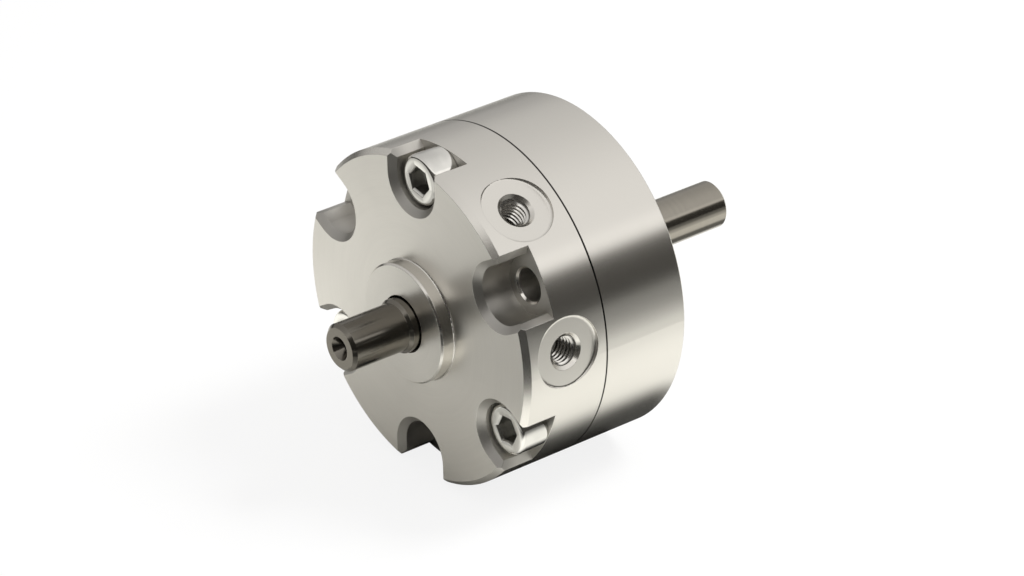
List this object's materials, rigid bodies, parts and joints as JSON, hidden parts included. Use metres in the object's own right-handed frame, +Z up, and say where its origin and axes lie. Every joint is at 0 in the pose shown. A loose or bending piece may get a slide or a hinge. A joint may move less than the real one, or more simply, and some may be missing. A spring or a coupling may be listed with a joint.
{
  "type": "pneumatic rotary actuator",
  "caption": "Round vane-type pneumatic rotary actuator with a shaft out of both ends, a pilot boss, notched rim and side air ports.",
  "frame": {"origin": "centre of the rear mounting face, on the shaft's axis and on the face's plane", "axes": "+Y along the shaft towards its plain rear end, +Z up, the pilot boss looks along -Y"},
  "size_m": [0.056, 0.077, 0.056],
  "materials": {
    "body": "satin turned",
    "shaft": "dark polished",
    "screw": "bright plated",
    "dowel": "ground",
    "stopper": "machined",
    "bearing_steel": "polished",
    "cage": "pressed sheet",
    "spring_steel": "blackened",
    "bronze": "machined",
    "rubber": "matt"
  },
  "bodies": {
    "housing": {"front_body": "body", "rear_body": "body", "clamp_screws": "screw", "joint_seal": "rubber", "body_dowels": "dowel", "stopper": "stopper", "stopper_seal": "rubber", "stopper_pins": "dowel", "front_seal_carrier": "bronze", "front_shaft_seal": "rubber", "rear_shaft_seal": "rubber", "retaining_ring": "spring_steel", "front_bearing_outer_ring": "bearing_steel", "front_bearing_shields": "cage", "rear_bearing_outer_ring": "bearing_steel", "rear_bearing_shields": "cage"},
    "rotor": {"output_shaft": "shaft", "vane": "dowel", "vane_seal": "rubber", "vane_pins": "dowel", "front_bearing_inner_ring": "bearing_steel", "rear_bearing_inner_ring": "bearing_steel"},
    "front_rollers": {"front_bearing_balls": "bearing_steel", "front_bearing_cage": "cage"},
    "rear_rollers": {"rear_bearing_balls": "bearing_steel", "rear_bearing_cage": "cage"}
  },
  "joints": [
    {"name": "shaft_turn", "type": "hinge", "parent": "housing", "child": "rotor", "pos_m": [0, 0, 0], "axis": [0, 1, 0], "range_deg": [-135, 135]},
    {"name": "front_bearing_roll", "type": "hinge", "parent": "housing", "child": "front_rollers", "pos_m": [0, 0, 0], "axis": [0, 1, 0], "range_deg": [-59.4, 59.4]},
    {"name": "rear_bearing_roll", "type": "hinge", "parent": "housing", "child": "rear_rollers", "pos_m": [0, 0, 0], "axis": [0, 1, 0], "range_deg": [-59.4, 59.4]}
  ],
  "couplings": [
    {"joint": "front_bearing_roll", "follows": "shaft_turn", "ratio": 0.44},
    {"joint": "rear_bearing_roll", "follows": "shaft_turn", "ratio": 0.44}
  ]
}
